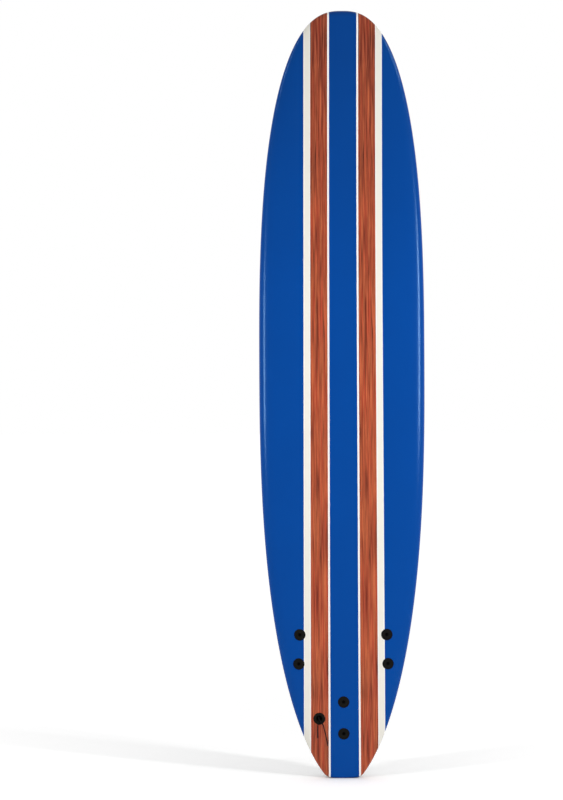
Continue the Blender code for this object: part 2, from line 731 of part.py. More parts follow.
def main():
    clear_scene()
    parts = new_collection("soft_top_surfboard")
    cutters = new_collection("cutters")
    materials = make_materials()

    side_fin = (SIDE_PLATE_LENGTH, SIDE_BOLT_SPACING, SIDE_FIN_DEPTH, SIDE_FIN_RAKE,
                materials, parts, cutters)
    center_fin = (CENTER_PLATE_LENGTH, CENTER_BOLT_SPACING, CENTER_FIN_DEPTH, CENTER_FIN_RAKE,
                  materials, parts, cutters)
    holes_left, recesses = fit_fin("left", -SIDE_FIN_X, SIDE_FIN_Z, SIDE_FIN_TOE, -SIDE_FIN_CANT, *side_fin)
    holes_right, more = fit_fin("right", SIDE_FIN_X, SIDE_FIN_Z, -SIDE_FIN_TOE, SIDE_FIN_CANT, *side_fin)
    recesses += more
    holes_center, more = fit_fin("center", 0, CENTER_FIN_Z, 0, 0, *center_fin)
    recesses += more
    pocket = fit_leash_plug(materials, parts, cutters)
    holes = holes_left + holes_right + holes_center

    deck = skin("deck_skin", True, 0, DECK_FOAM, materials["deck_foam"], parts)
    slick = skin("bottom_slick", False, 0, SLICK, materials["slick"], parts)
    sheet = skin("bottom_foam", False, SLICK + GAP, BOTTOM_FOAM, materials["sheet_foam"], parts)
    for layer in (deck, slick, sheet):
        for hole in holes:
            boolean(layer, hole, 'DIFFERENCE')
    for recess in recesses + [pocket]:
        boolean(deck, recess, 'DIFFERENCE')

    near, far = STRINGER_OFFSET - STRINGER_HALF, STRINGER_OFFSET + STRINGER_HALF
    side = BOARD_WIDTH
    lengthwise = [
        ("core_left", -side, -far - GAP, "core_foam", holes_left + [pocket]),
        ("stringer_left", -far, -near, "ply", []),
        ("core_center", -near + GAP, near - GAP, "core_foam", holes_center),
        ("stringer_right", near, far, "ply", []),
        ("core_right", far + GAP, side, "core_foam", holes_right),
    ]
    for name, low_x, high_x, slot, cuts in lengthwise:
        piece = add(name, core_blank(name), parts, materials[slot])
        boolean(piece, block(f"{name}_block", low_x, high_x, cutters), 'INTERSECT')
        for cutter in cuts:
            boolean(piece, cutter, 'DIFFERENCE')


main()
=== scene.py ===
import math

import bmesh
import bpy
from mathutils import Matrix, Vector


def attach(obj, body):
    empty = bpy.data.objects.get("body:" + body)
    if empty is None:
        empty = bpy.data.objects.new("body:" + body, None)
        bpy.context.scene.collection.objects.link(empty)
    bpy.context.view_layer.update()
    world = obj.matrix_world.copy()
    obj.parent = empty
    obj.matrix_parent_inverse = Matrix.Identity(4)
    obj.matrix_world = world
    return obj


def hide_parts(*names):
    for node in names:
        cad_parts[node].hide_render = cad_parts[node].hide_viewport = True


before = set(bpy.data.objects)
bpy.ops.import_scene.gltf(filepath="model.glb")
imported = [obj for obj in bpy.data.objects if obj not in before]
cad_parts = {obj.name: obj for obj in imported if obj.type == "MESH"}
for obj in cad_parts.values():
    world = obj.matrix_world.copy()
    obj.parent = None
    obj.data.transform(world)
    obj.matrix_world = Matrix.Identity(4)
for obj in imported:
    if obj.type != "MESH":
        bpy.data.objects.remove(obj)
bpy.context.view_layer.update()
print("Frame loaded:", len(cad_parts), "nodes")

mm = 0.001
gap = 0.3 * mm  # air between two pieces that touch
tiny = 1e-7  # points closer than this are one


# Node trees. A Value is a number in a tree: Python's operators on it add Math nodes.

class Value:
    def __init__(self, graph, socket):
        self.graph = graph
        self.socket = socket

    def math(self, operation, *others, first=None):
        values = [self if first is None else first, *others]
        return self.graph.node("ShaderNodeMath", {"operation": operation}, values)

    def out(self, name):  # another output of the same node
        return Value(self.graph, self.graph.find(self.socket.node.outputs, name))

    def axis(self, name):  # of a vector
        return self.graph.node("ShaderNodeSeparateXYZ", {}, [self], out=name)

    def __add__(self, other):
        return self.math("ADD", other)

    def __sub__(self, other):
        return self.math("SUBTRACT", other)

    def __rsub__(self, other):
        return self.math("SUBTRACT", self, first=other)

    def __mul__(self, other):
        return self.math("MULTIPLY", other)

    def __truediv__(self, other):
        return self.math("DIVIDE", other)

    def __rtruediv__(self, other):
        return self.math("DIVIDE", self, first=other)

    def __pow__(self, other):
        return self.math("POWER", other)

    def __rpow__(self, other):
        return self.math("POWER", self, first=other)

    __radd__ = __add__
    __rmul__ = __mul__


class Graph:
    def __init__(self, tree):
        self.tree = tree

    def find(self, sockets, key):
        for socket in sockets:
            if socket.identifier == key:
                return socket
        return sockets[key]  # by its name or its number

    def node(self, kind, settings=None, values=(), out=0):
        made = self.tree.nodes.new(kind)
        for name, value in (settings or {}).items():
            setattr(made, name, value)
        pairs = values.items() if isinstance(values, dict) else enumerate(values)
        for key, value in pairs:
            socket = self.find(made.inputs, key)
            if isinstance(value, Value):
                self.tree.links.new(value.socket, socket)
            else:
                socket.default_value = value
        if made.outputs:
            return Value(self, self.find(made.outputs, out))


# These work on plain numbers and on Values, so one formula serves Python and the node trees

def above0(value):
    return value.math("MAXIMUM", 0.0) if isinstance(value, Value) else max(value, 0.0)


def between01(value):
    high = above0(value)
    return high.math("MINIMUM", 1.0) if isinstance(value, Value) else min(high, 1.0)


def root(value):
    return value ** 0.5


# Camera

camera = {
    "distance": 6.0,
    "height": 1.2071,
    "aside": -0.1948,
    "lens": 84.47,
    "sensor": 36,
    "roll": math.radians(0.222),
}


def addCamera():
    data = bpy.data.cameras.new("camera")
    data.sensor_fit = "VERTICAL"
    data.sensor_height = camera["sensor"]
    data.lens = camera["lens"]
    item = bpy.data.objects.new("camera", data)
    item.location = (camera["aside"], -camera["distance"], camera["height"])
    item.rotation_euler = (math.pi / 2, camera["roll"], 0)
    bpy.context.scene.collection.objects.link(item)
    bpy.context.scene.camera = item


addCamera()
print("Camera set")


# The board's surface: the same rule as the solids follow

board = {
    "Length": 2438 * mm,
    "Width": 533 * mm,
    "Wide Point": 1312 * mm,
    "Tail Width": 108 * mm,
    "Tail Corner": 12 * mm,
    "Thickness": 80 * mm,
    "Thick Point": 1250 * mm,
    "End Thickness": 36 * mm,
    "Tail Edge": 6 * mm,
    "Nose Round": 26 * mm,
    "Rocker Point": 1200 * mm,
    "Tail Rocker": 60 * mm,
    "Nose Rocker": 125 * mm,
    "Seam Setback": 8 * mm,
    "Deck Share": 0.6,
}
noseTaper, noseFullness = 2.75, 2.5
tailTaper, tailFullness = 2.6, 1.7
thicknessTaper = 2.2
tailRockerCurve, noseRockerCurve = 2.4, 2.6
deckSquareness, bottomSquareness = 2.8, 4.5


def endInset(z, radius):
    near = above0(radius - z)
    return radius - root(above0(radius * radius - near * near))


def halfWidth(b, z):
    cut = (1 - (b["Tail Width"] / b["Width"]) ** tailFullness) ** (1 / tailTaper)
    nose = between01((z - b["Wide Point"]) / (b["Length"] - b["Wide Point"]))
    tail = between01((b["Wide Point"] - z) / b["Wide Point"]) * cut
    noseSide = above0(1 - nose ** noseTaper) ** (1 / noseFullness)
    tailSide = (1 - tail ** tailTaper) ** (1 / tailFullness)
    return b["Width"] * 0.5 * noseSide * tailSide - endInset(z, b["Tail Corner"])


def fullThickness(b, z):
    tail = between01(1 - z / b["Thick Point"])
    nose = between01((z - b["Thick Point"]) / (b["Length"] - b["Thick Point"]))
    thinner = tail ** thicknessTaper + nose ** thicknessTaper
    return b["Thickness"] - (b["Thickness"] - b["End Thickness"]) * thinner


def sideHeight(b, z, share):
    near = between01((z - b["Length"] + b["Nose Round"]) / b["Nose Round"])
    closing = root(above0(1 - near * near))
    return share * fullThickness(b, z) * closing - endInset(z, b["Tail Edge"])


def seamLine(b, z):
    tail = between01(1 - z / b["Rocker Point"])
    nose = between01((z - b["Rocker Point"]) / (b["Length"] - b["Rocker Point"]))
    rocker = b["Tail Rocker"] * tail ** tailRockerCurve + b["Nose Rocker"] * nose ** noseRockerCurve
    bottomShare = 1 - b["Deck Share"]
    low = b["Seam Setback"] + bottomShare * b["End Thickness"] + b["Tail Rocker"] - rocker
    return low - bottomShare * fullThickness(b, z)


def deckY(x, z):
    across = min(abs(x) / halfWidth(board, z), 1)
    rise = (1 - across ** deckSquareness) ** (1 / deckSquareness)
    return seamLine(board, z) - sideHeight(board, z, board["Deck Share"]) * rise


def bottomY(x, z):
    across = min(abs(x) / halfWidth(board, z), 1)
    rise = (1 - across ** bottomSquareness) ** (1 / bottomSquareness)
    return seamLine(board, z) + sideHeight(board, z, 1 - board["Deck Share"]) * rise


def leanOf(surface, x, z):
    step = 1e-4
    return ((surface(x + step, z) - surface(x - step, z)) / (2 * step),
            (surface(x, z + step) - surface(x, z - step)) / (2 * step))


def seatAt(place, out, ahead):
    # Z points out of the board, and Y lies along it, as near as it can to ahead
    out.normalize()
    ahead = (ahead - out * ahead.dot(out)).normalized()
    seat = Matrix((ahead.cross(out), ahead, out)).transposed().to_4x4()
    seat.translation = place
    return seat


def deckSeat(x, z):
    leanX, leanZ = leanOf(deckY, x, z)
    return seatAt((x, deckY(x, z), z), Vector((leanX, -1, leanZ)), Vector((0, 0, 1)))


def finSeat(x, z, toe):
    leanX, leanZ = leanOf(bottomY, x, z)
    ahead = Vector((math.sin(toe), 0, math.cos(toe)))
    return seatAt((x, bottomY(x, z), z), Vector((-leanX, 1, -leanZ)), ahead)


def depthToDeck(seat, along):
    # How far in from the bottom the deck is, found by halving
    near, far = 0.0, 2 * board["Thickness"]
    halvings = 40
    for _ in range(halvings):
        depth = (near + far) / 2
        point = seat @ Vector((0, along, -depth))
        if point.y > deckY(point.x, point.z):
            near = depth
        else:
            far = depth
    return near


# Mesh helpers

def addPiece(name, mesh, *materials):
    for made in materials:
        mesh.materials.append(made)
    item = bpy.data.objects.new(name, mesh)
    bpy.context.scene.collection.objects.link(item)
    return item


def meshFrom(name, build, smooth=40):
    shape = bmesh.new()
    build(shape)
    bmesh.ops.remove_doubles(shape, verts=shape.verts, dist=tiny)
    bmesh.ops.recalc_face_normals(shape, faces=shape.faces)
    mesh = bpy.data.meshes.new(name)
    shape.to_mesh(mesh)
    shape.free()
    mesh.shade_smooth()
    mesh.set_sharp_from_angle(angle=math.radians(smooth))
    return mesh


def bridge(shape, first, second):
    count = len(first)
    for k in range(count):
        corners = [first[k], first[(k + 1) % count], second[(k + 1) % count], second[k]]
        places = {tuple(round(c, 8) for c in v.co) for v in corners}
        if len(places) == 4:
            shape.faces.new(corners)
        elif len(places) == 3:
            apart = [v for n, v in enumerate(corners) if (v.co - corners[n - 1].co).length > tiny]
            shape.faces.new(apart)


def addLoft(shape, rings):
    rows = [[shape.verts.new(point) for point in ring] for ring in rings]
    for first, second in zip(rows, rows[1:]):
        bridge(shape, first, second)
    for row in (rows[0], rows[-1]):
        if (row[0].co - row[len(row) // 2].co).length > tiny:
            shape.faces.new(row)


def addLathe(shape, profile, steps, turn):
    # A closed profile of radius and height about Z. Points on the axis become poles.
    angles = [2 * math.pi * k / steps for k in range(steps)]
    rows = []
    for radius, height in profile:
        ring = [Vector((radius * math.cos(a), radius * math.sin(a), height)) for a in angles]
        rows.append([shape.verts.new(turn @ point) for point in ring])
    for first, second in zip(rows, rows[1:] + rows[:1]):
        bridge(shape, first, second)


def turned(name, profile, steps, turn=Matrix.Identity(4), smooth=50):
    return meshFrom(name, lambda shape: addLathe(shape, profile, steps, turn), smooth)


def rounded(corners, radius, steps):
    # A profile with its corners rounded. Points on the axis stay sharp.
    made = []
    for k, corner in enumerate(corners):
        before = Vector(corners[k - 1])
        here = Vector(corner)
        after = Vector(corners[(k + 1) % len(corners)])
        if corner[0] < 1e-9:
            made.append(tuple(here))
            continue
        back, ahead = before - here, after - here
        reach = min(radius, back.length * 0.45, ahead.length * 0.45)
        start, end = here + back.normalized() * reach, here + ahead.normalized() * reach
        for n in range(steps + 1):
            t = n / steps
            made.append(tuple(start * (1 - t) ** 2 + here * 2 * t * (1 - t) + end * t ** 2))
    return made


def settle(piece):
    # The evaluated piece becomes a plain mesh, and its modifiers go
    graph = bpy.context.evaluated_depsgraph_get()
    graph.update()
    mesh = bpy.data.meshes.new_from_object(piece.evaluated_get(graph), depsgraph=graph)
    piece.modifiers.clear()
    piece.data = mesh
    mesh.name = piece.name


def discard(*pieces):
    for piece in pieces:
        bpy.data.objects.remove(piece, do_unlink=True)


def cut(piece, cutter):
    modifier = piece.modifiers.new("cut", "BOOLEAN")
    modifier.object = cutter
    modifier.operation = "DIFFERENCE"
    modifier.solver = "EXACT"


# Materials

def tint(red, green, blue):
    # A screen colour, 0 to 255, as a linear one
    shares = [c / 255 for c in (red, green, blue)]
    return (*[c / 12.92 if c <= 0.04045 else ((c + 0.055) / 1.055) ** 2.4 for c in shares], 1)


def newMaterial(name, **fixed):
    # With what is the same all over the piece
    made = bpy.data.materials.new(name)
    made.use_nodes = True
    for key, value in fixed.items():
        made.node_tree.nodes["Principled BSDF"].inputs[key.replace("_", " ")].default_value = value
    return made, Graph(made.node_tree)


def feed(made, **wires):
    # With what changes over the piece
    for key, wire in wires.items():
        socket = made.node_tree.nodes["Principled BSDF"].inputs[key.replace("_", " ")]
        made.node_tree.links.new(wire.socket, socket)
    return made


def objectPlace(graph, scale=(1, 1, 1)):
    place = graph.node("ShaderNodeTexCoord", out="Object")
    return graph.node("ShaderNodeMapping", {}, {"Vector": place, "Scale": scale})


def mixColor(factor, first, second):
    values = {"Factor_Float": factor, "A_Color": first, "B_Color": second}
    return factor.graph.node("ShaderNodeMix", {"data_type": "RGBA"}, values, out="Result_Color")


def noise(graph, scale, detail=2.0, rough=0.5, bend=0.0, stretch=(1, 1, 1), place=None):
    values = {"Vector": place or objectPlace(graph, stretch), "Scale": scale, "Detail": detail,
              "Roughness": rough, "Distortion": bend}
    return graph.node("ShaderNodeTexNoise", {}, values, out="Fac")


def cellsOf(graph, pitch, feature="F1"):
    # The distance from the nearest of many points, a pitch apart
    values = {"Vector": objectPlace(graph), "Scale": 1 / pitch}
    return graph.node("ShaderNodeTexVoronoi", {"feature": feature}, values, out="Distance")


def bump(height, distance, strength, **under):
    values = {"Height": height, "Distance": distance, "Strength": strength, **under}
    return height.graph.node("ShaderNodeBump", {}, values)


def step01(value, edge, width):
    # 0 below the edge and 1 above it, across a short width
    return between01((value - edge) / width + 0.5)


black = (0, 0, 0, 1)
white = (1, 1, 1, 1)
deckPrint = {
    "blue": tint(0, 71, 157),
    "blueShade": tint(0, 67, 150),
    "pinline": tint(254, 252, 248),
    "cream": tint(246, 242, 231),
    "creamShade": tint(240, 236, 224),
    "creamLine": 2.6 * mm,  # white line along both edges of the cream band
    "creamSoftness": 1.2 * mm,
    "woodLight": tint(204, 107, 66),
    "woodRed": tint(190, 76, 48),
    "woodDark": tint(104, 42, 24),
    "knot": tint(60, 26, 17),
    "edges": (44.4 * mm, 50.1 * mm, 105.2 * mm, 127.1 * mm),
    "edgeSoftness": 0.6 * mm,
    "woodMiddle": 77.6 * mm,
    "widening": 0.025,  # how much wider the bands stand at the tail than at mid board
    "aside": 3 * mm,  # the print lies a little to the right of the board's middle
    # wood: width and length of each kind of mark, and how strongly it shows
    "grain": (3.5 * mm, 170 * mm),
    "figure": (13 * mm, 480 * mm),
    "hue": (5 * mm, 230 * mm),
    "pores": (0.8 * mm, 14 * mm),
    "bends": (90 * mm, 240 * mm),
    "knots": (32 * mm, 620 * mm),
    "tone": 0.69,
    "grainDepth": 3.2,
    "figureDepth": 0.6,
    "poreDepth": 0.3,
    # the wood's darkening towards the nose: partly painted shade, partly the wood print's own darker tone
    # there
    "woodNoseShade": 0.38,
    "knotSize": 0.085,
    "knotDepth": 0.75,
    "haloSize": 2.6,  # in knot sizes
    "haloDepth": 0.6,
    # long dark marks in millimetres: across from the band's middle, height and half length
    "streaks": [(-8, 1735, 70), (-6, 1394, 170), (-3, 936, 70), (-6, 579, 110), (-6, 98, 65)],
    "streakWidth": 6.5 * mm,
    "streakDepth": 0.85,
    "wander": 5 * mm,
    "noseShade": (1.55, 2.3),  # painted shade: the print is darkened towards the nose between these heights, standing in for the light that falls off there
    "blueNoseShade": 0.22,
    "creamNoseShade": 0.11,
    "emboss": 0.9 * mm,
}


def printedFoam():
    p = deckPrint
    made, graph = newMaterial("deckFoam", Specular_IOR_Level=0.17, Specular_Tint=(0.34, 0.68, 1, 1))
    place = graph.node("ShaderNodeTexCoord", out="Object")
    x = place.axis("X")
    z = x.out("Z")
    spread = 1 + p["widening"] * (1 - z * 2 / board["Length"])
    fromCenter = (x - p["aside"]) / spread
    across = fromCenter.math("ABSOLUTE")
    first, second, third, fourth = [step01(across, edge, p["edgeSoftness"]) for edge in p["edges"]]

    # Wood print: both bands carry the same picture, so each is read from its own middle
    fromMiddle = fromCenter - fromCenter.math("SIGN") * p["woodMiddle"]

    def lengthwise(side, sizes, layer, *look):
        spot = graph.node("ShaderNodeCombineXYZ", {}, [side / sizes[0], layer, z / sizes[1]])
        return noise(graph, 1.0, *look, place=spot)

    bend = lengthwise(fromMiddle, p["bends"], 5.0)
    winding = fromMiddle + (bend - 0.5) * p["wander"] * 2
    grain = lengthwise(winding, p["grain"], 0.0, 3.0, 0.6, 0.15)
    figure = lengthwise(winding, p["figure"], 4.0, 2.0, 0.5, 0.3)
    pores = lengthwise(winding, p["pores"], 2.0)
    hue = lengthwise(winding, p["hue"], 12.0)
    spot = graph.node("ShaderNodeCombineXYZ", {}, [winding / p["knots"][0], z / p["knots"][1], 0.0])
    knotSpace = graph.node("ShaderNodeTexVoronoi", {"voronoi_dimensions": "2D", "feature": "F1"},
                           {"Vector": spot, "Scale": 1.0, "Randomness": 0.9}, out="Distance")
    # Painted shade: the print is darkened towards the nose, where less light falls
    low, high = p["noseShade"]
    shade = between01((z - low) / (high - low))
    tone = p["tone"] + (grain - 0.5) * p["grainDepth"] + (figure - 0.5) * p["figureDepth"]
    # painted shade towards the nose, which in the wood is also partly its own darker tone
    tone = tone - shade * p["woodNoseShade"]
    wood = mixColor(between01((hue - 0.4) * 4), p["woodLight"], p["woodRed"])
    wood = mixColor(between01(tone), p["woodDark"], wood)
    wood = mixColor(between01((pores - 0.56) * 4) * p["poreDepth"], wood, p["woodDark"])
    size = p["knotSize"]
    knot = between01((size - knotSpace) / (size * 0.9))
    halo = between01((size * p["haloSize"] - knotSpace) / (size * 2.2))
    wood = mixColor(halo * between01((0.62 - grain) * 4) * p["haloDepth"], wood, p["woodDark"])
    wood = mixColor(knot * p["knotDepth"], wood, p["knot"])
    for aside, height, reach in p["streaks"]:
        offset = (fromMiddle - aside * mm) / p["streakWidth"]
        along = (z - height * mm) / (reach * mm)
        streak = between01(1 - root(offset * offset + along * along))
        wood = mixColor(streak * p["streakDepth"], wood, p["woodDark"])

    cloud = noise(graph, 4.0, 3.0)
    blue = mixColor(cloud, p["blueShade"], p["blue"])
    # painted shade: the blue darkened towards the nose
    blue = mixColor(shade * p["blueNoseShade"], blue, black)
    cream = mixColor(cloud, p["creamShade"], p["cream"])
    color = mixColor(first, blue, p["pinline"])
    color = mixColor(second, color, wood)
    line, softness = p["creamLine"], p["creamSoftness"]
    inner = step01(across, p["edges"][2] + line, softness)
    outer = step01(across, p["edges"][3] - line, softness)
    cream = mixColor(inner * (1 - outer), p["pinline"], cream)
    # painted shade: the cream darkened towards the nose
    cream = mixColor(shade * p["creamNoseShade"], cream, black)
    color = mixColor(third, color, cream)
    color = mixColor(fourth, color, blue)

    # Embossed closed-cell skin: a fine pebble, and faint waves from the laminating rollers
    cells = cellsOf(graph, p["emboss"])
    rolled = noise(graph, 14.0, 2.0, stretch=(1, 1, 0.25))
    pebble = bump(cells, 0.06 * mm, 0.4)
    return feed(made, Base_Color=color, Roughness=0.14 + cells * 0.05 + rolled * 0.04,
                Normal=bump(rolled, 0.9 * mm, 0.1, Normal=pebble))


def glossySlick():
    made, graph = newMaterial("slick", Specular_IOR_Level=0.3)
    cloud = noise(graph, 5.0, 3.0, stretch=(1, 1, 0.2))
    peel = noise(graph, 160.0, 2.0)
    scuff = noise(graph, 6.0, 3.0, 0.6, stretch=(60, 60, 2.5))
    color = mixColor(cloud, tint(236, 237, 238), tint(246, 246, 245))
    marks = between01((scuff - 0.66) * 5)
    color = mixColor(marks * 0.25, color, tint(214, 216, 218))
    return feed(made, Base_Color=color, Roughness=0.17 + cloud * 0.06 + marks * 0.2,
                Normal=bump(peel, 0.12 * mm, 0.35))


def moulded(name, dark, light, roughness, gloss=0.04):
    made, graph = newMaterial(name, Specular_IOR_Level=gloss)
    grain = cellsOf(graph, 0.6 * mm, "SMOOTH_F1")
    flow = noise(graph, 35.0, 3.0)
    rub = noise(graph, 260.0, 2.0, 0.6)
    color = mixColor(between01(flow * 0.7 + grain * 0.3), dark, light)
    return feed(made, Base_Color=color, Roughness=roughness - 0.06 + flow * 0.08 + rub * 0.08,
                Normal=bump(grain, 0.05 * mm, 0.4))


def metal(name, dark, light, roughness, **fixed):
    made, graph = newMaterial(name, **fixed)
    lines = noise(graph, 900.0, 3.0, stretch=(1, 1, 12))
    stain = noise(graph, 120.0, 2.0)
    color = mixColor(stain, dark, light)
    return feed(made, Base_Color=color, Roughness=roughness - 0.06 + lines * 0.14,
                Normal=bump(lines, 0.02 * mm, 0.3))


def beadFoam(name, pale, shade, pitch):
    made, graph = newMaterial(name)
    beads = cellsOf(graph, pitch)
    color = mixColor(between01(beads * 1.4 - 0.3), pale, shade)
    return feed(made, Base_Color=color, Roughness=0.8 + beads * 0.1,
                Normal=bump(1 - beads, 0.4 * mm, 0.6))


def plywood():
    made, graph = newMaterial("ply")
    layer = 1.4 * mm
    place = graph.node("ShaderNodeTexCoord", out="Object")
    x = place.axis("X")
    ply = (x * (2 * math.pi / layer)).math("SINE") * 0.5 + 0.5
    grain = noise(graph, 420.0, 3.0, 0.6, stretch=(1, 1, 0.03))
    color = mixColor(between01(grain * 0.7 + ply * 0.3), tint(176, 132, 84), tint(214, 180, 134))
    return feed(made, Base_Color=color, Roughness=0.5 + grain * 0.2,
                Normal=bump(grain, 0.1 * mm, 0.4))


braid = {
    "carriers": 8,
    "pitch": 2.6 * mm,
    "relief": 0.07,  # of the cord's radius
    "plainTip": 2.5,  # in radii: the melted tip has no strands
}


def braidedCord():
    # Reads the tube's own map: U round it, V along it in metres
    made, graph = newMaterial("cord", Specular_IOR_Level=0.15)
    place = graph.node("ShaderNodeUVMap")
    u = place.axis("X")
    v = u.out("Y")
    left = (u * braid["carriers"] + v / braid["pitch"]).math("FRACT")
    right = (u * braid["carriers"] - v / braid["pitch"]).math("FRACT")
    strands = (left - 0.5).math("ABSOLUTE") * (right - 0.5).math("ABSOLUTE") * 4
    fuzz = noise(graph, 3500.0, 2.0, 0.7)
    color = mixColor(between01(strands * 1.2 + fuzz * 0.4 - 0.2), tint(4, 3, 4), tint(22, 19, 19))
    return feed(made, Base_Color=color, Roughness=0.62 + fuzz * 0.25,
                Normal=bump(fuzz, 0.05 * mm, 0.6))


finish = {
    "deck_foam": printedFoam(),
    "slick": glossySlick(),
    "sheet_foam": beadFoam("sheetFoam", tint(214, 220, 226), tint(190, 198, 208), 1.1 * mm),
    "core_foam": beadFoam("coreFoam", tint(240, 240, 236), tint(206, 206, 200), 4.5 * mm),
    "ply": plywood(),
    "black_plastic": moulded("blackPlastic", tint(7, 7, 6), tint(16, 16, 13), 0.42),
    "dull_plastic": moulded("dullPlastic", tint(21, 21, 19), tint(34, 33, 30), 0.7, 0.0),
    "sleeve_plastic": moulded("sleevePlastic", tint(196, 196, 190), tint(216, 216, 212), 0.45),
    "brass": metal("brass", tint(168, 128, 62), tint(206, 168, 96), 0.32, Metallic=1.0),
    "steel": metal("blackenedSteel", tint(9, 8, 8), tint(15, 14, 14), 0.6, Specular_IOR_Level=0.0),
    "cord": braidedCord(),
}
print("Materials made:", len(finish))


def dress(piece, look):
    # One finish all over, also on the faces that a cutter left
    piece.data.materials.clear()
    piece.data.materials.append(finish[look])


# Leash plug: where the cup stands, and the string in it. Its points are in millimetres: across, up, out.

plug = {
    "x": -78 * mm,
    "z": 188.8 * mm,
    "flangeRadius": 19 * mm,
    "flangeThickness": 1.8 * mm,
    "proud": 0.8 * mm,
    "bore": 9.5 * mm,
    "wall": 3 * mm,
    "depth": 17 * mm,
    "floor": 2 * mm,
    "chamfer": 1.5 * mm,
    "rim": [(3.2 * mm, 0), (0.6 * mm, 0.35 * mm), (0, 1.1 * mm)],  # in from the flange's edge, and down
    "edgeRound": 0.8 * mm,
    "edgeSteps": 5,
    "steps": 96,
    "pinRadius": 1.5 * mm,
    "pinDepth": 6 * mm,
    "pinSeat": 2 * mm,
    "pinRound": 0.3 * mm,
    "pinSteps": 32,
}
plugSeat = deckSeat(plug["x"], plug["z"])

string = {
    "radius": 1.5 * mm,
    "bend": 6.2 * mm,
    "loopOut": -6.5 * mm,
    "loopTurn": math.radians(250),
    "loopStart": -3.6 * mm,
    "loopEnd": -1.7 * mm,
    "rimBendOut": -2.6 * mm,
    "rimPoints": 3,
    "loopPoints": 8,
    "left": [(-4.8, -62, 1.4), (-5.3, -49, 1.6), (-5.5, -36, 1.7), (-5, -25, 2.2), (-4.1, -17, 3)],
    "right": [(-0.2, -2.4, 0.8), (2.3, -6.4, 2.2), (5.1, -10.2, 3.2), (8.2, -13.8, 3.5), (10.9, -18, 3.1),
              (13.1, -22.8, 2.4), (14.9, -29, 2), (17.6, -40, 1.9), (21, -55, 1.9), (24.3, -71, 1.9),
              (27, -87, 2)],
    "partsAt": 3,  # the point of the loop where the two strands part
    "between": 6,  # points of the smooth line from one of these points to the next
    "tubeSteps": 24,
    "ringStep": 0.45 * mm,
}


def stringRoute():
    # From the left end up over the cup's rim, round the pin, and out over the rim again to the right end
    s = string
    route = [Vector(point) * mm for point in s["left"]]
    for k in range(s["rimPoints"] + 1):
        angle = math.pi / 2 * (1 - k / s["rimPoints"])
        up, out = s["bend"] * (math.cos(angle) - 2), s["rimBendOut"] + s["bend"] * math.sin(angle)
        route.append(Vector((s["loopStart"], up, out)))
    for k in range(s["loopPoints"] + 1):
        share = k / s["loopPoints"]
        angle = math.pi + s["loopTurn"] * share
        across = s["loopStart"] + (s["loopEnd"] - s["loopStart"]) * share
        up, out = s["bend"] * math.cos(angle), s["loopOut"] + s["bend"] * math.sin(angle)
        route.append(Vector((across, up, out)))
    return route + [Vector(point) * mm for point in s["right"]]


def smoothRoute(points, steps):
    # A curve through all the points
    padded = [2 * points[0] - points[1], *points, 2 * points[-1] - points[-2]]
    route = []
    for a, b, c, d in zip(padded, padded[1:], padded[2:], padded[3:]):
        for k in range(steps):
            t = k / steps
            route.append(0.5 * (2 * b + (c - a) * t + (2 * a - 5 * b + 4 * c - d) * t ** 2
                                + (3 * b - a - 3 * c + d) * t ** 3))
    return route + [points[-1]]


def evenly(points, step):
    # The same line with points a step apart
    lengths = [0.0]
    for a, b in zip(points, points[1:]):
        lengths.append(lengths[-1] + (b - a).length)
    count = round(lengths[-1] / step)
    made, k = [], 0
    for n in range(count + 1):
        along = lengths[-1] * n / count
        while k < len(points) - 2 and lengths[k + 1] < along:
            k += 1
        made.append(points[k].lerp(points[k + 1], (along - lengths[k]) / (lengths[k + 1] - lengths[k])))
    return made


def addStrand(name, points):
    # A braided tube along the points, with a melted round tip at its free end
    s = string
    line = evenly(points, s["ringStep"])
    steps = s["tubeSteps"]
    side = (line[1] - line[0]).orthogonal().normalized()
    rows, maps = [], []
    along = 0.0
    for k, point in enumerate(line):
        ahead = (line[min(k + 1, len(line) - 1)] - line[max(k - 1, 0)]).normalized()
        side = (side - ahead * side.dot(ahead)).normalized()
        other = ahead.cross(side)
        along += (point - line[k - 1]).length if k else 0
        left = (len(line) - 1 - k) * s["ringStep"]
        tip = min(left / s["radius"], 1)
        size = s["radius"] * math.sqrt(1 - (1 - tip) ** 2)
        ring = []
        for n in range(steps):
            angle = 2 * math.pi * n / steps
            around, on = braid["carriers"] * angle, 2 * math.pi * along / braid["pitch"]
            weave = math.cos(around + on) * math.cos(around - on)
            relief = 0 if left < braid["plainTip"] * s["radius"] else braid["relief"]
            out = size * (1 - relief * (0.5 - 0.5 * weave))
            ring.append(point + (side * math.cos(angle) + other * math.sin(angle)) * out)
        rows.append(ring)
        maps.append(along)

    shape = bmesh.new()
    uv = shape.loops.layers.uv.new("UVMap")

    def addFace(corners, places):
        for loop, (turn, along) in zip(shape.faces.new(corners).loops, places):
            loop[uv].uv = (turn / steps, along)

    made = [[shape.verts.new(point) for point in ring] for ring in rows[:-1]]
    for k, (first, second) in enumerate(zip(made, made[1:])):
        low, high = maps[k], maps[k + 1]
        for n in range(steps):
            after = (n + 1) % steps
            addFace([first[n], first[after], second[after], second[n]],
                    [(n, low), (n + 1, low), (n + 1, high), (n, high)])
    end, high = shape.verts.new(line[-1]), maps[-1]
    for n in range(steps):
        addFace([made[-1][n], made[-1][(n + 1) % steps], end], [(n, high), (n + 1, high), (n + 0.5, high)])
    shape.faces.new(made[0])
    bmesh.ops.recalc_face_normals(shape, faces=shape.faces)
    mesh = bpy.data.meshes.new(name)
    shape.to_mesh(mesh)
    shape.free()
    mesh.shade_smooth()
    return addPiece(name, mesh, finish["cord"]), line


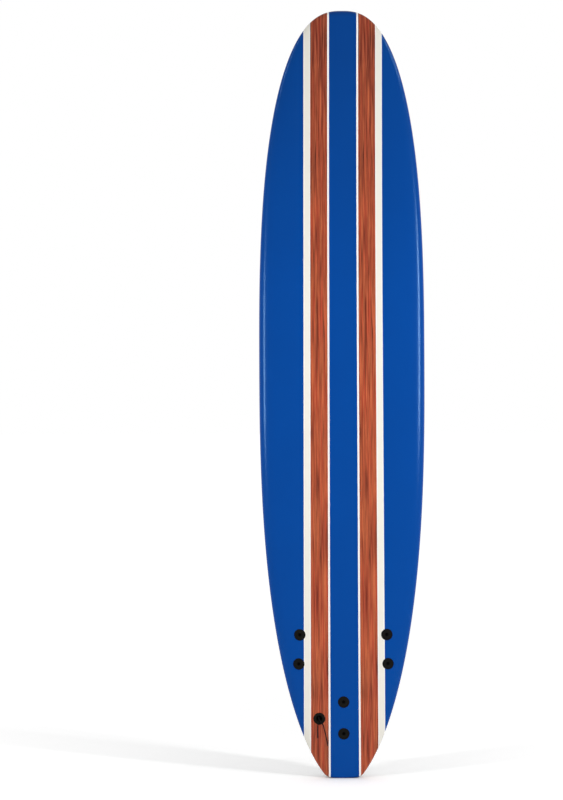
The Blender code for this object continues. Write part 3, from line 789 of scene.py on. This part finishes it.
def addString():
    # The photograph shows two free ends: each strand is a cord of its own that leaves the loop round the pin
    s = string
    route = [plugSeat @ point for point in smoothRoute(stringRoute(), s["between"])]
    middle = (len(s["left"]) + s["rimPoints"] + 1 + s["partsAt"]) * s["between"]
    for name, points in (("leashStringLeft", route[middle::-1]), ("leashStringRight", route[middle:])):
        strand, line = addStrand(name, points)
        length = sum((b - a).length for a, b in zip(line, line[1:]))
        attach(strand, "root")
        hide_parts("leash_string")
        [tuple(p) for p in line[::4]] + [tuple(line[-1])]
        print(name, "length", round(length, 4))


addString()


# Fins and what bolts them through the board

fin = {
    "plateWidth": 29 * mm,
    "plateThickness": 4 * mm,
    "plateEdge": 1.8 * mm,
    "bladeMargin": 14 * mm,
    "bladeFoot": 3.5 * mm,  # the blade's thickness at the plate
    "bladeTip": 1.75 * mm,
    "thickest": 0.2,  # of the chord
    "leadCurve": (1.5, 0.6),
    "trailCurve": 2.4,
    "sunk": 0.5 * mm,  # how far the blade's foot goes into the plate
    "fillet": 3 * mm,
    "cant": math.radians(4),
    "rings": 56,
    "crowding": 1.8,  # brings the rings closer together towards the tip
    "points": 64,
    "edgeSteps": 6,
    "endPoints": 24,
    "crown": (3 * mm, 0.02 * mm),  # the plate's top rises a little in from its edge
    "postSteps": 32,
}
sideFin = {"z": 405 * mm, "length": 138 * mm, "depth": 115 * mm, "rake": 30 * mm, "bolts": 93 * mm}
fins = {
    "fin_left": {"x": -143.3 * mm, "toe": math.radians(2.2), "lean": -1, **sideFin},
    "fin_right": {"x": 143.3 * mm, "toe": math.radians(-2.2), "lean": 1, **sideFin},
    "fin_center": {"x": 0.0, "toe": 0.0, "lean": 0, "z": 186.4 * mm, "length": 148 * mm, "depth": 128 * mm,
                   "rake": 42 * mm, "bolts": 100.7 * mm},
}
bolt = {
    "screwRadius": 2.5 * mm,
    "screwLength": 9 * mm,
    "headRadius": 4.85 * mm,
    "headHeight": 2.2 * mm,
    "headFlat": 0.82,  # of its radius
    "headEdge": 0.7 * mm,
    "headRound": 0.35 * mm,
    "headSteps": 48,
    "crossLength": 5 * mm,
    "crossWidth": 1.1 * mm,
    "crossDepth": 1.4 * mm,
    "crossSections": [(-0.4 * mm, 0.55), (0.5 * mm, 1.05)],  # past its floor and the head, and their sizes
    "postRadius": 6.2 * mm,
    "postLength": 16 * mm,
    "sleeveRadius": 7.7 * mm,
    "discRadius": 18.3 * mm,
    "discThickness": 3 * mm,
    "discProud": 0.4 * mm,
    "stem": 8 * mm,
    "seatRadius": 5.1 * mm,
    "dishDepth": 1.6 * mm,
    "well": 2.8 * mm,  # from the dish down to the hole's floor
    "innerBevel": (0.9 * mm, 0.7 * mm),
    "outerBevel": (0.7 * mm, 1.7 * mm),
    "crownMiddle": 12.6 * mm,  # radius at which the ring stands highest
    "crownDrop": 0.9 * mm,
    "crownSteps": 8,
    "discRound": 0.6 * mm,
    "discSteps": 96,
    "edgeSteps": 3,
}


def stadium(width, length, inset, height, steps):
    radius = width / 2 - inset
    reach = (length - width) / 2
    ring = []
    for side in (1, -1):
        for k in range(steps + 1):
            angle = math.pi * k / steps
            ring.append(Vector((side * radius * math.cos(angle),
                                side * (reach + radius * math.sin(angle)), height)))
    return ring


def foil(share):
    # Half the section's thickness, as a share of the whole, from leading edge at 0 to trailing edge at 1
    return 5 * (0.2969 * math.sqrt(share) - 0.126 * share - 0.3516 * share ** 2 + 0.2843 * share ** 3
                - 0.1036 * share ** 4)


def addBlade(shape, sizes, seat):
    front = sizes["length"] / 2 - fin["bladeMargin"]
    back = -front
    tip = -sizes["length"] / 2 - sizes["rake"]
    foot = gap + fin["plateThickness"] - fin["sunk"]
    early, late = fin["leadCurve"]
    fillet = fin["fillet"]
    rings = []
    for k in range(fin["rings"] + 1):
        t = 1 - (1 - k / fin["rings"]) ** fin["crowding"]
        lead = front - (front - tip) * (1 - (1 - t ** early) ** late)
        trail = back - (back - tip) * t ** fin["trailCurve"]
        height = foot + (gap + sizes["depth"] - foot) * t
        above = height - foot
        flare = fillet - math.sqrt(max(fillet ** 2 - max(fillet - above, 0) ** 2, 0))
        chord = lead - trail
        thickness = min(fin["bladeFoot"] + (fin["bladeTip"] - fin["bladeFoot"]) * t, chord * fin["thickest"])
        lean = above * math.tan(fin["cant"]) * sizes["lean"]
        ring = []
        for n in range(fin["points"]):
            angle = 2 * math.pi * n / fin["points"]
            share = (1 - math.cos(angle)) / 2
            half = thickness * foil(share)
            sine = math.sin(angle)
            side = math.copysign(half, sine) if 0 < n != fin["points"] // 2 else 0
            outward = Vector((math.copysign(abs(sine) ** 0.5, sine), math.cos(angle)))
            forward = lead - chord * share + outward.y * flare
            ring.append(seat @ Vector((side + lean + outward.x * flare, forward, height)))
        rings.append(ring)
    addLoft(shape, rings)


def boltTurns(sizes):
    # On the bottom, where each of a fin's two bolts stands
    seat = finSeat(sizes["x"], sizes["z"], sizes["toe"])
    return [seat @ Matrix.Translation((0, side * sizes["bolts"] / 2, 0)) for side in (1, -1)]


def addFin(name, sizes):
    seat = finSeat(sizes["x"], sizes["z"], sizes["toe"])
    top = gap + fin["plateThickness"]
    edge = fin["plateEdge"]
    rims = [(0, gap), (0, top - edge)]
    for k in range(1, fin["edgeSteps"] + 1):
        angle = math.pi / 2 * k / fin["edgeSteps"]
        rims.append((edge * (1 - math.cos(angle)), top - edge * (1 - math.sin(angle))))
    rims.append((edge + fin["crown"][0], top + fin["crown"][1]))

    def build(shape):
        width, length, count = fin["plateWidth"], sizes["length"], fin["endPoints"]
        addLoft(shape, [[seat @ p for p in stadium(width, length, inset, height, count)]
                        for inset, height in rims])
        addBlade(shape, sizes, seat)
        radius, end = bolt["postRadius"], -bolt["postLength"]
        post = [(0, top / 2), (radius, top / 2), (radius, end), (0, end)]
        for turn in boltTurns(sizes):
            addLathe(shape, post, fin["postSteps"], turn)

    piece = addPiece(name, meshFrom(name, build), finish["black_plastic"])
    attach(piece, "root")
    return piece, seat


boltSeats, discSeats = [], []
for node, sizes in fins.items():
    piece, seat = addFin("fin" + node.split("_")[1].capitalize(), sizes)
    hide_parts(node)
    for side in (1, -1):
        along = side * sizes["bolts"] / 2
        top = depthToDeck(seat, along) + bolt["discProud"]
        facing = seat @ Matrix.Translation((0, along, -top)) @ Matrix.Rotation(math.pi, 4, "X")
        place = facing.translation
        discSeats.append(deckSeat(place.x, place.z) @ Matrix.Translation((0, 0, bolt["discProud"])))
        boltSeats.append(facing)
print("Fins made:", len(fins))


# Geometry Nodes: how a tree starts and ends, and how a modifier gets its inputs

def startTree(name, inputs):
    tree = bpy.data.node_groups.new(name, "GeometryNodeTree")
    for title, kind in inputs.items():
        tree.interface.new_socket(title, in_out="INPUT", socket_type="NodeSocket" + kind)
    tree.interface.new_socket("Geometry", in_out="OUTPUT", socket_type="NodeSocketGeometry")
    graph = Graph(tree)
    return graph, graph.node("NodeGroupInput")


def endTree(graph, shape, look):
    real = graph.node("GeometryNodeRealizeInstances", {}, [shape])
    dressed = graph.node("GeometryNodeSetMaterial", {}, {"Geometry": real, "Material": look})
    graph.node("NodeGroupOutput", {}, [dressed])
    return graph.tree


def addTree(piece, tree, values):
    modifier = piece.modifiers.new(tree.name, "NODES")
    modifier.node_group = tree
    for item in tree.interface.items_tree:
        if item.in_out == "INPUT" and item.name in values:
            modifier[item.identifier] = values[item.name]


# Scatter tree: one piece set on every seat. A seat is a vertex with a turn of its own.

def scatterTree():
    graph, given = startTree("onEverySeat", {"Geometry": "Geometry", "Piece": "Object", "Finish": "Material"})
    shape = graph.node("GeometryNodeObjectInfo", {"transform_space": "ORIGINAL"},
                       {"Object": given.out("Piece")}, out="Geometry")
    turn = graph.node("GeometryNodeInputNamedAttribute", {"data_type": "FLOAT_VECTOR"}, {"Name": "turn"},
                      out="Attribute")
    rotation = graph.node("FunctionNodeEulerToRotation", {}, [turn])
    placed = graph.node("GeometryNodeInstanceOnPoints", {},
                        {"Points": given, "Instance": shape, "Rotation": rotation})
    return endTree(graph, placed, given.out("Finish"))


onEverySeat = scatterTree()


def scatter(name, mesh, seats, look):
    # The mesh is made about the origin and set on each seat; the result is one plain piece
    pattern = addPiece(name + "Pattern", mesh)
    points = bpy.data.meshes.new(name)
    points.from_pydata([seat.translation for seat in seats], [], [])
    turns = points.attributes.new("turn", "FLOAT_VECTOR", "POINT")
    for k, seat in enumerate(seats):
        turns.data[k].vector = seat.to_euler("XYZ")
    piece = addPiece(name, points)
    addTree(piece, onEverySeat, {"Piece": pattern, "Finish": finish[look]})
    settle(piece)
    dress(piece, look)
    discard(pattern)
    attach(piece, "root")
    return piece


def discMesh():
    b = bolt
    r, under, seat, middle = b["discRadius"], -b["discThickness"], b["seatRadius"], b["crownMiddle"]
    (innerIn, innerDown), (outerIn, outerDown) = b["innerBevel"], b["outerBevel"]
    inner, outer = seat + innerIn, r - outerIn
    crown = []
    for k in range(b["crownSteps"] + 1):
        radius = inner + (outer - inner) * k / b["crownSteps"]
        crown.append((radius, -b["crownDrop"] * ((radius - middle) / (r - middle)) ** 2))
    floor = -b["dishDepth"] - b["well"]
    stem, end = b["postRadius"], under - b["stem"]
    corners = [(0, floor), (seat, floor), (seat, crown[0][1] - innerDown), *crown, (r, -outerDown),
               (r, under), (stem, under), (stem, end), (0, end)]
    return turned("disc", rounded(corners, b["discRound"], b["edgeSteps"]), b["discSteps"])


def screwMesh():
    b = bolt
    top = -b["dishDepth"] - gap
    under = top - b["headHeight"]
    end = under - b["screwLength"]
    r = b["headRadius"]
    corners = [(0, top), (r * b["headFlat"], top), (r, top - b["headEdge"]), (r, under),
               (b["screwRadius"], under), (b["screwRadius"], end), (0, end)]

    def buildCross(shape):
        long, short = b["crossLength"] / 2, b["crossWidth"] / 2
        arms = []
        for turn in range(4):
            c, s = math.cos(math.pi / 2 * turn), math.sin(math.pi / 2 * turn)
            for x, y in ((long, -short), (long, short), (short, short)):
                arms.append((x * c - y * s, x * s + y * c))
        (low, lowSize), (high, highSize) = b["crossSections"]
        addLoft(shape, [[Vector((x * size, y * size, z)) for x, y in arms]
                        for z, size in ((top - b["crossDepth"] + low, lowSize), (top + high, highSize))])

    outline = rounded(corners, b["headRound"], b["edgeSteps"])
    head = addPiece("screwPattern", turned("screwPattern", outline, b["headSteps"], smooth=35))
    cross = addPiece("crossCutter", meshFrom("crossCutter", buildCross, 20))
    cut(head, cross)
    settle(head)
    mesh = head.data
    mesh.set_sharp_from_angle(angle=math.radians(30))
    discard(cross, head)
    return mesh


boltTags = [f"{side}_{end}" for side in ("left", "right", "center") for end in ("front", "rear")]
discs = scatter("finWashers", discMesh(), discSeats, "dull_plastic")
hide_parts(*[f"fin_washer_{tag}" for tag in boltTags])
screws = scatter("finScrews", screwMesh(), boltSeats, "steel")
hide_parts(*[f"fin_screw_{tag}" for tag in boltTags])
print("Washers and screws set:", len(boltSeats))


# Leash cup and its pin

def cupMesh():
    p = plug
    face, r, body, floor = p["proud"], p["flangeRadius"], p["bore"] + p["wall"], -p["depth"]
    under = face - p["flangeThickness"]
    corners = [(0, floor), (p["bore"], floor), (p["bore"], face - p["chamfer"]),
               (p["bore"] + p["chamfer"], face), *[(r - near, face - down) for near, down in p["rim"]],
               (r, under), (body, under), (body, floor - p["floor"]), (0, floor - p["floor"])]
    return turned("leashCup", rounded(corners, p["edgeRound"], p["edgeSteps"]), p["steps"], plugSeat)


cup = addPiece("leashCup", cupMesh(), finish["dull_plastic"])
pinTurn = plugSeat @ Matrix.Translation((0, 0, -plug["pinDepth"])) @ Matrix.Rotation(math.pi / 2, 4, "Y")


def pinProfile(air):
    reach, radius = plug["bore"] + plug["pinSeat"] + air, plug["pinRadius"] + air
    return [(0, reach), (radius, reach), (radius, -reach), (0, -reach)]


pinHole = addPiece("pinHole", turned("pinHole", pinProfile(gap), plug["pinSteps"], pinTurn))
cut(cup, pinHole)
settle(cup)
discard(pinHole)
pinEdge = rounded(pinProfile(0), plug["pinRound"], 3)
pin = addPiece("leashPin", turned("leashPin", pinEdge, plug["pinSteps"], pinTurn, 40), finish["steel"])
for piece, node, slot in ((cup, "leash_cup", "black_plastic"), (pin, "leash_pin", "steel")):
    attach(piece, "root")
    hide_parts(node)
print("Leash plug made")


# Deck and bottom skins: a grid bent to the board's rule by Geometry Nodes

skin = {
    "deckThickness": 5 * mm,
    "slickThickness": 1.5 * mm,
    "cutOver": 10 * mm,  # how far the cutters reach past the skin
    "postCut": 3 * mm,  # and how far out from the bottom
    "seatSteps": 64,
    "holeSteps": 32,
}
gridSize = {"Rings": 300, "Columns": 73}
deckSide = {**gridSize, "Squareness": deckSquareness, "Height Share": board["Deck Share"], "Facing": -1.0,
            "Crowding": 1.4, "Flip": False}
bottomSide = {**gridSize, "Squareness": bottomSquareness, "Height Share": 1 - board["Deck Share"],
              "Facing": 1.0, "Crowding": 2.0, "Flip": True}


def skinTree():
    kinds = {bool: "Bool", int: "Int", float: "Float"}
    sizes = {**board, **deckSide}
    inputs = {name: kinds[type(value)] for name, value in sizes.items()}
    graph, given = startTree("boardSkin", {**inputs, "Finish": "Material"})
    b = {name: given.out(name) for name in sizes}
    grid = graph.node("GeometryNodeMeshGrid", {}, {"Size X": 2.0, "Size Y": 1.0, "Vertices X": b["Columns"],
                                                   "Vertices Y": b["Rings"]}, out="Mesh")
    place = graph.node("GeometryNodeInputPosition")
    u = place.axis("X")
    v = u.out("Y") + 0.5
    z = b["Length"] * (1 - (v * math.pi).math("COSINE")) * 0.5
    away = u.math("ABSOLUTE")
    angle = above0(1 - away) ** b["Crowding"] * (math.pi / 2)
    across = above0(angle.math("COSINE")) ** (2 / b["Squareness"]) * u.math("SIGN")
    rise = above0(angle.math("SINE")) ** (2 / b["Squareness"])
    # The first ring lies on the seam, so that the strip after it closes the tail
    cap = v.math("GREATER_THAN", 1e-6)
    x = above0(halfWidth(b, z)) * across
    y = seamLine(b, z) + b["Facing"] * (gap / 2 + sideHeight(b, z, b["Height Share"]) * rise * cap)
    spot = graph.node("ShaderNodeCombineXYZ", {}, [x, y, z])
    bent = graph.node("GeometryNodeSetPosition", {}, {"Geometry": grid, "Position": spot})
    closed = graph.node("GeometryNodeMergeByDistance", {}, {"Geometry": bent, "Distance": 1e-6})
    flipped = graph.node("GeometryNodeFlipFaces", {}, {"Mesh": closed, "Selection": b["Flip"]})
    smooth = graph.node("GeometryNodeSetShadeSmooth", {}, {"Geometry": flipped})
    return endTree(graph, smooth, given.out("Finish"))


boardSkin = skinTree()


def addSkin(name, slot, thickness, values, buildCutters):
    piece = addPiece(name, bpy.data.meshes.new(name))
    addTree(piece, boardSkin, {**board, **values, "Finish": finish[slot]})
    solid = piece.modifiers.new("thickness", "SOLIDIFY")
    solid.thickness = thickness
    solid.offset = -1
    cutters = addPiece("cutters", meshFrom("cutters", buildCutters))
    cut(piece, cutters)
    settle(piece)
    discard(cutters)
    dress(piece, slot)
    piece.data.set_sharp_from_angle(angle=math.radians(35))
    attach(piece, "root")
    return piece


def buildDeckCutters(shape):
    # A wide seat for each disc or flange, and a narrower hole for what goes on down through the skin
    b, p = bolt, plug
    widths = [(seat, b["discRadius"], -b["discThickness"], b["postRadius"]) for seat in discSeats]
    widths.append((plugSeat, p["flangeRadius"], p["proud"] - p["flangeThickness"], p["bore"] + p["wall"]))
    over = skin["cutOver"]
    for seat, side, under, body in widths:
        side, under, body = side + gap, under - gap, body + gap
        profile = [(0, over), (side, over), (side, under), (body, under), (body, -over), (0, -over)]
        addLathe(shape, profile, skin["seatSteps"], seat)


def buildBottomCutters(shape):
    radius, high, low = bolt["sleeveRadius"] + gap, skin["postCut"], -skin["cutOver"]
    hole = [(0, high), (radius, high), (radius, low), (0, low)]
    for sizes in fins.values():
        for turn in boltTurns(sizes):
            addLathe(shape, hole, skin["holeSteps"], turn)


deck = addSkin("deckSkin", "deck_foam", skin["deckThickness"], deckSide, buildDeckCutters)
slick = addSkin("bottomSlick", "slick", skin["slickThickness"], bottomSide, buildBottomCutters)
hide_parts("deck_skin")
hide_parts("bottom_slick")
print("Skins made:", len(deck.data.polygons), "and", len(slick.data.polygons), "faces")


# The pieces inside keep their solids and get finishes of their own

inside = {
    "bottom_foam": "sheet_foam",
    "core_left": "core_foam",
    "core_center": "core_foam",
    "core_right": "core_foam",
    "stringer_left": "ply",
    "stringer_right": "ply",
}
for tag in boltTags:
    inside[f"fin_insert_{tag}"] = "brass"
    inside[f"fin_sleeve_{tag}"] = "sleeve_plastic"
for node, slot in inside.items():
    dress(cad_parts[node], slot)
print("Inner pieces finished:", len(inside))


# Studio: pale floor, white background, a wide soft light before and behind, and narrow ones at the sides

studio = {
    "floor": tint(244, 244, 244),
    "nearLift": 0.31,
    "farLift": 0.81,
    "liftReach": 2.6,
    "world": 0.3,
    "foot": (42 * mm, 12 * mm),  # half the tail's own area on the floor
    "footBack": 4.4 * mm,
    # the painted contact shadow round the tail's foot: how far the glow is lowered, and how far and how
    # strongly the colour is darkened
    "footShade": 37 * mm,
    "touchShade": 9 * mm,
    "touchDepth": 0.4,
    "floorReach": 60,
}
lamps = {
    "left": {"place": (-2.2, -1.35, 1.34), "size": (0.2, 0.72), "power": 23.0, "aim": 1.25},
    "right": {"place": (2.2, -1.35, 1.45), "size": (0.11, 0.88), "power": 33.0, "aim": 1.25},
    "highLeft": {"place": (-2.3, -1.1, 2.95), "size": (0.1, 0.7), "power": 9.5, "aim": 1.9},
    "highRight": {"place": (2.3, -1.1, 2.95), "size": (0.1, 0.7), "power": 15.0, "aim": 1.9},
    "front": {"place": (0.0, -5.8, 4.2), "size": (6.0, 3.2), "power": 52.0, "aim": 1.25, "mirrored": False},
    "back": {"place": (0.0, 5.8, 4.2), "size": (6.0, 3.2), "power": 235.0, "aim": 1.25, "mirrored": False,
             "onFloor": False},
}


def emptyGraph(owner):
    # An empty tree, and 1 for what is seen, in a gloss and through glass too, or 0 for what gives light
    owner.use_nodes = True
    owner.node_tree.nodes.clear()
    graph = Graph(owner.node_tree)
    rays = graph.node("ShaderNodeLightPath", out="Is Camera Ray")
    return graph, between01(rays + rays.out("Is Glossy Ray") + rays.out("Is Transmission Ray"))


def addFloor():
    made = bpy.data.materials.new("floor")
    graph, seen = emptyGraph(made)
    place = graph.node("ShaderNodeTexCoord", out="Object")
    x = place.axis("X")
    away = graph.node("ShaderNodeVectorMath", {"operation": "LENGTH"}, [place], out="Value")
    near = math.e ** (away / -studio["liftReach"])  # the lamps light the floor near the board
    lift = studio["farLift"] - near * (studio["farLift"] - studio["nearLift"])
    # Painted contact shadow: right beside the tail the floor's glow is lowered, as if the board kept that
    # light off, and its colour is darkened
    asideFoot = above0(x.math("ABSOLUTE") - studio["foot"][0])
    beforeFoot = above0((x.out("Y") - studio["footBack"]).math("ABSOLUTE") - studio["foot"][1])
    fromFoot = root(asideFoot * asideFoot + beforeFoot * beforeFoot)
    lift = lift * (1 - math.e ** (fromFoot / -studio["footShade"]))
    # painted contact shadow: the floor's colour darkened right at the tail's foot
    contactShadow = math.e ** (fromFoot / -studio["touchShade"]) * studio["touchDepth"]
    color = mixColor(contactShadow, studio["floor"], black)
    diffuse = graph.node("ShaderNodeBsdfDiffuse", {}, {"Color": color})
    glow = graph.node("ShaderNodeEmission", {}, {"Color": white, "Strength": seen * lift})
    both = graph.node("ShaderNodeAddShader", {}, [diffuse, glow])
    graph.node("ShaderNodeOutputMaterial", {}, {"Surface": both})
    mesh = bpy.data.meshes.new("floor")
    r = studio["floorReach"]
    mesh.from_pydata([(-r, -r, 0), (r, -r, 0), (r, r, 0), (-r, r, 0)], [], [(0, 1, 2, 3)])
    floor = addPiece("floor", mesh, made)
    return floor


def addWorld():
    world = bpy.data.worlds.new("studio")
    bpy.context.scene.world = world
    graph, seen = emptyGraph(world)
    light = graph.node("ShaderNodeBackground", {}, {"Color": white, "Strength": studio["world"]})
    backdrop = graph.node("ShaderNodeBackground", {}, {"Color": white, "Strength": 1.0})
    mixed = graph.node("ShaderNodeMixShader", {}, [seen, light, backdrop])
    graph.node("ShaderNodeOutputWorld", {}, {"Surface": mixed})


def addLight(name, values, floor):
    data = bpy.data.lights.new(name, "AREA")
    data.shape = "RECTANGLE"
    data.size, data.size_y = values["size"]
    data.energy = values["power"]
    item = bpy.data.objects.new(name, data)
    item.location = values["place"]
    item.rotation_euler = (item.location - Vector((0, 0, values["aim"]))).to_track_quat("Z", "Y").to_euler()
    item.visible_glossy = values.get("mirrored", True)
    item.visible_camera = False
    bpy.context.scene.collection.objects.link(item)
    if not values.get("onFloor", True):
        # It would throw a second shadow on the floor, towards the camera
        left = bpy.data.collections.new(name + "LeavesOut")
        left.objects.link(floor)
        left.collection_objects[0].light_linking.link_state = "EXCLUDE"
        item.light_linking.receiver_collection = left


floor = addFloor()
addWorld()
for name, values in lamps.items():
    addLight(name, values, floor)
bpy.context.scene.view_settings.view_transform = "Standard"
print("Studio lit")
